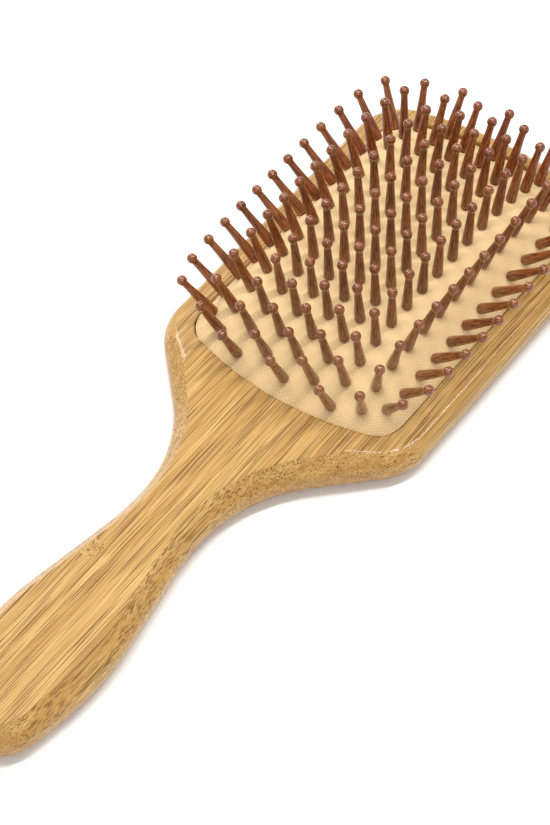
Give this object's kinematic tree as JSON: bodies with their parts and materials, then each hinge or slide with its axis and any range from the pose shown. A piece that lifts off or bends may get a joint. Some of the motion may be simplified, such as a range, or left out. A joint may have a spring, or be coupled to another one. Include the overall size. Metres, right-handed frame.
{
  "type": "paddle brush",
  "caption": "Flat bamboo hair brush with a wide head, waisted handle and domed fabric-faced air cushion whose wooden ball-tipped pins sink and tilt together when pressed.",
  "frame": {"origin": "middle of the whole brush on its flat back, as it lies pins up", "axes": "+Z out of the back towards the pins, +Y along the handle towards the head's far end, +X across the brush"},
  "size_m": [0.0836, 0.244, 0.036],
  "materials": {
    "bamboo": "satin lacquer over lengthwise grain",
    "glue": "matt cured adhesive",
    "rubber": "matt black rubber",
    "fabric": "fine plain weave, cream",
    "pin_wood": "stained and lacquered, reddish brown"
  },
  "bodies": {
    "brush": {"brush_body": "bamboo", "glue_bead": "glue", "cushion_rubber": "rubber", "cushion_fabric": "fabric"},
    "crown_pins": {"pins_crown_1": "pin_wood", "pins_crown_2": "pin_wood", "pins_crown_3": "pin_wood", "pins_crown_4": "pin_wood", "pins_crown_5": "pin_wood"},
    "near_pins": {"pins_near_1": "pin_wood", "pins_near_2": "pin_wood", "pins_near_3": "pin_wood", "pins_near_4": "pin_wood", "pins_near_5": "pin_wood"},
    "far_pins": {"pins_far_1": "pin_wood", "pins_far_2": "pin_wood", "pins_far_3": "pin_wood", "pins_far_4": "pin_wood", "pins_far_5": "pin_wood"},
    "left_pins": {"pins_left_inner": "pin_wood", "pins_left_outer": "pin_wood"},
    "right_pins": {"pins_right_inner": "pin_wood", "pins_right_outer": "pin_wood"},
    "near_left_pins": {"pins_near_left": "pin_wood"},
    "near_right_pins": {"pins_near_right": "pin_wood"},
    "far_left_pins": {"pins_far_left": "pin_wood"},
    "far_right_pins": {"pins_far_right": "pin_wood"}
  },
  "joints": [
    {"name": "cushion_press", "type": "slide", "parent": "brush", "child": "crown_pins", "axis": [0, 0, -1], "range_m": [0, 0.003], "stiffness_N_per_m": 400, "deforming": ["cushion_fabric", "cushion_rubber"]},
    {"name": "near_give", "type": "hinge", "parent": "brush", "child": "near_pins", "pos_m": [0, 0.00284, 0.01635], "axis": [-1, 0, 0], "range_deg": [0, 6.3]},
    {"name": "far_give", "type": "hinge", "parent": "brush", "child": "far_pins", "pos_m": [0, 0.11756, 0.01635], "axis": [1, 0, 0], "range_deg": [0, 6.3]},
    {"name": "left_give", "type": "hinge", "parent": "brush", "child": "left_pins", "pos_m": [-0.03868, 0.0602, 0.01746], "axis": [0, 1, 0], "range_deg": [0, 10]},
    {"name": "right_give", "type": "hinge", "parent": "brush", "child": "right_pins", "pos_m": [0.03868, 0.0602, 0.01746], "axis": [0, -1, 0], "range_deg": [0, 10]},
    {"name": "near_left_give", "type": "hinge", "parent": "brush", "child": "near_left_pins", "pos_m": [-0.02885, 0.00938, 0.01488], "axis": [-0.9085, 0.4178, 0], "range_deg": [0, 8.6]},
    {"name": "near_right_give", "type": "hinge", "parent": "brush", "child": "near_right_pins", "pos_m": [0.02885, 0.00938, 0.01488], "axis": [-0.9085, -0.4178, 0], "range_deg": [0, 8.6]},
    {"name": "far_left_give", "type": "hinge", "parent": "brush", "child": "far_left_pins", "pos_m": [-0.02885, 0.11102, 0.01488], "axis": [0.9085, 0.4178, 0], "range_deg": [0, 8.6]},
    {"name": "far_right_give", "type": "hinge", "parent": "brush", "child": "far_right_pins", "pos_m": [0.02885, 0.11102, 0.01488], "axis": [0.9085, -0.4178, 0], "range_deg": [0, 8.6]}
  ],
  "couplings": [
    {"joint": "near_give", "follows": "cushion_press", "rad_per_m": 36.1},
    {"joint": "far_give", "follows": "cushion_press", "rad_per_m": 36.1},
    {"joint": "left_give", "follows": "cushion_press", "rad_per_m": 57.433},
    {"joint": "right_give", "follows": "cushion_press", "rad_per_m": 57.433},
    {"joint": "near_left_give", "follows": "cushion_press", "rad_per_m": 49.2},
    {"joint": "near_right_give", "follows": "cushion_press", "rad_per_m": 49.2},
    {"joint": "far_left_give", "follows": "cushion_press", "rad_per_m": 49.2},
    {"joint": "far_right_give", "follows": "cushion_press", "rad_per_m": 49.2}
  ]
}
